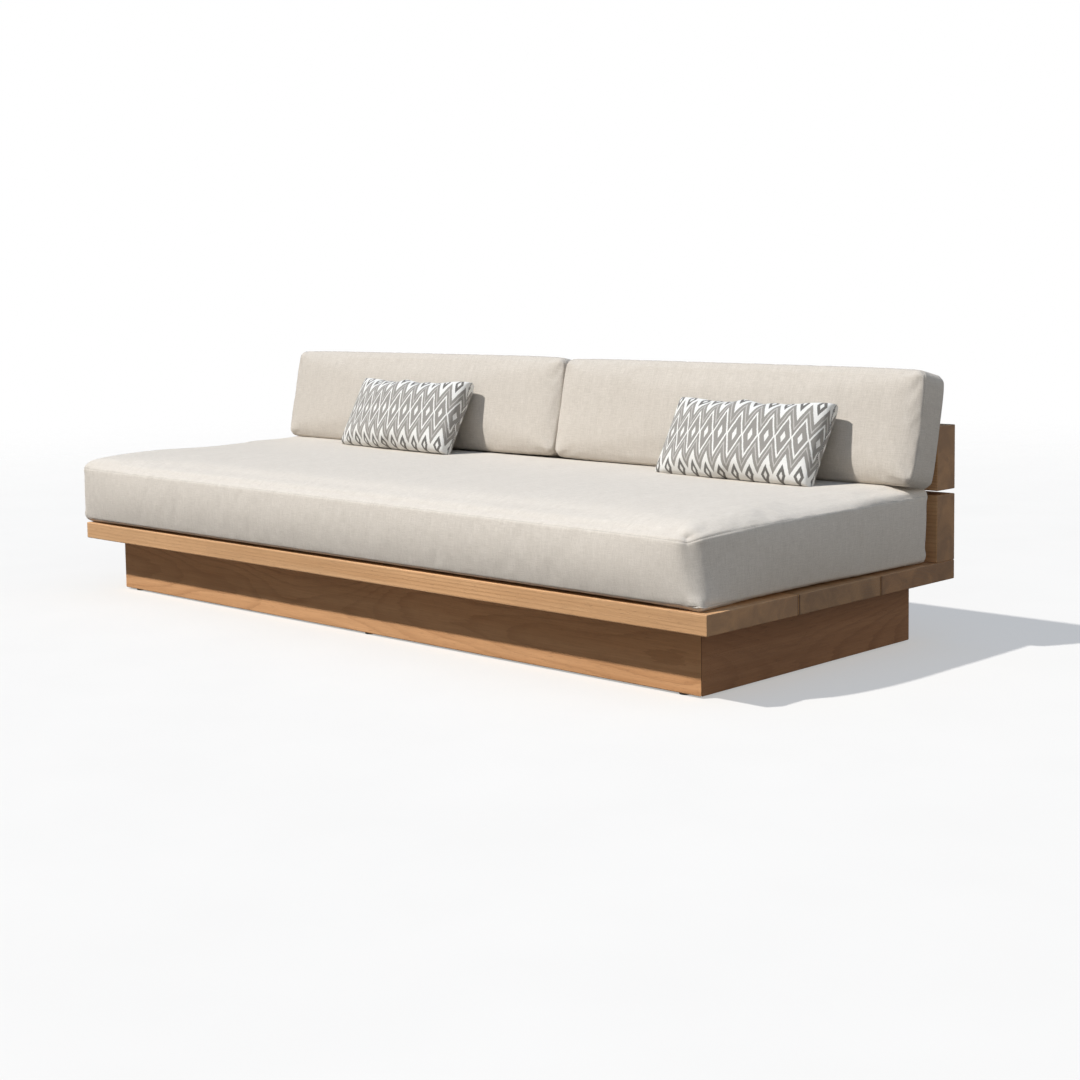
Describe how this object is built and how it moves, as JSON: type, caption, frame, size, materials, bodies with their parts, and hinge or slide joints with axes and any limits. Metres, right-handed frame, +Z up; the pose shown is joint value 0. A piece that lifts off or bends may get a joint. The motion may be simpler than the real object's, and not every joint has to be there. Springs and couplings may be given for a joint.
{
  "type": "daybed",
  "caption": "Low platform daybed: plank platform on a recessed plinth, low beam back, box mattress, leaning back cushions and lumbar pillows.",
  "frame": {"origin": "on the floor under the middle of the whole daybed's box", "axes": "+X along the length towards the right-hand end as seen from the front, +Y from the front to the back, +Z up"},
  "size_m": [2.4774, 1, 0.699],
  "materials": {
    "teak": "satin",
    "oatmeal_canvas": "matte",
    "ikat_canvas": "matte",
    "foam": "matte",
    "fibre_fill": "matte",
    "zip_tape": "matte",
    "zip_metal": "satin",
    "steel": "satin",
    "brass": "satin",
    "nylon": "matte"
  },
  "bodies": {
    "frame": {"beam_spacer_left": "nylon", "beam_spacer_middle": "nylon", "beam_spacer_right": "nylon", "bearer_left": "teak", "bearer_right": "teak", "corner_block_back_left": "teak", "corner_block_back_right": "teak", "corner_block_front_left": "teak", "corner_block_front_right": "teak", "glide_back_left": "nylon", "glide_back_middle": "nylon", "glide_back_right": "nylon", "glide_front_left": "nylon", "glide_front_middle": "nylon", "glide_front_right": "nylon", "lower_back_beam": "teak", "plank_screw_left_front": "steel", "plank_screw_left_middle": "steel", "plank_screw_left_rear": "steel", "plank_screw_right_front": "steel", "plank_screw_right_middle": "steel", "plank_screw_right_rear": "steel", "platform_plank_front": "teak", "platform_plank_middle": "teak", "platform_plank_rear": "teak", "plinth_back": "teak", "plinth_front": "teak", "plinth_left": "teak", "plinth_right": "teak", "threaded_insert_left": "brass", "threaded_insert_middle": "brass", "threaded_insert_right": "brass", "tie_bolt_left": "steel", "tie_bolt_middle": "steel", "tie_bolt_right": "steel", "upper_back_beam": "teak"},
    "mattress": {"mattress_core": "foam", "mattress_cover": "oatmeal_canvas", "mattress_zip": "zip_tape"},
    "mattress_zip_slider": {"mattress_zip_slider": "zip_metal"},
    "back_cushion_left": {"back_cushion_left_core": "foam", "back_cushion_left_cover": "oatmeal_canvas", "back_cushion_left_zip": "zip_tape"},
    "back_cushion_left_zip_slider": {"back_cushion_left_zip_slider": "zip_metal"},
    "back_cushion_right": {"back_cushion_right_core": "foam", "back_cushion_right_cover": "oatmeal_canvas", "back_cushion_right_zip": "zip_tape"},
    "back_cushion_right_zip_slider": {"back_cushion_right_zip_slider": "zip_metal"},
    "pillow_left": {"pillow_left_cover": "ikat_canvas", "pillow_left_insert": "fibre_fill", "pillow_left_zip": "zip_tape"},
    "pillow_left_zip_slider": {"pillow_left_zip_slider": "zip_metal"},
    "pillow_right": {"pillow_right_cover": "ikat_canvas", "pillow_right_insert": "fibre_fill", "pillow_right_zip": "zip_tape"},
    "pillow_right_zip_slider": {"pillow_right_zip_slider": "zip_metal"}
  },
  "joints": [
    {"name": "mattress_lift", "type": "slide", "parent": "frame", "child": "mattress", "axis": [0, 0, 1], "range_m": [0, 0.4]},
    {"name": "back_cushion_left_lift", "type": "slide", "parent": "mattress", "child": "back_cushion_left", "axis": [0, 0.2079, 0.9781], "range_m": [0, 0.32]},
    {"name": "back_cushion_right_lift", "type": "slide", "parent": "mattress", "child": "back_cushion_right", "axis": [0, 0.2079, 0.9781], "range_m": [0, 0.32]},
    {"name": "pillow_left_lift", "type": "slide", "parent": "mattress", "child": "pillow_left", "axis": [0, 0, 1], "range_m": [0, 0.34]},
    {"name": "pillow_right_lift", "type": "slide", "parent": "mattress", "child": "pillow_right", "axis": [0, 0, 1], "range_m": [0, 0.34]},
    {"name": "mattress_zip_slide", "type": "slide", "parent": "mattress", "child": "mattress_zip_slider", "axis": [-1, 0, 0], "range_m": [0, 2.176]},
    {"name": "back_cushion_left_zip_slide", "type": "slide", "parent": "back_cushion_left", "child": "back_cushion_left_zip_slider", "axis": [-1, 0, 0], "range_m": [0, 1.076]},
    {"name": "back_cushion_right_zip_slide", "type": "slide", "parent": "back_cushion_right", "child": "back_cushion_right_zip_slider", "axis": [-1, 0, 0], "range_m": [0, 1.076]},
    {"name": "pillow_left_zip_slide", "type": "slide", "parent": "pillow_left", "child": "pillow_left_zip_slider", "axis": [-0.9969, 0.0785, 0], "range_m": [0, 0.276]},
    {"name": "pillow_right_zip_slide", "type": "slide", "parent": "pillow_right", "child": "pillow_right_zip_slider", "axis": [-0.998, 0.0628, 0], "range_m": [0, 0.276]}
  ]
}
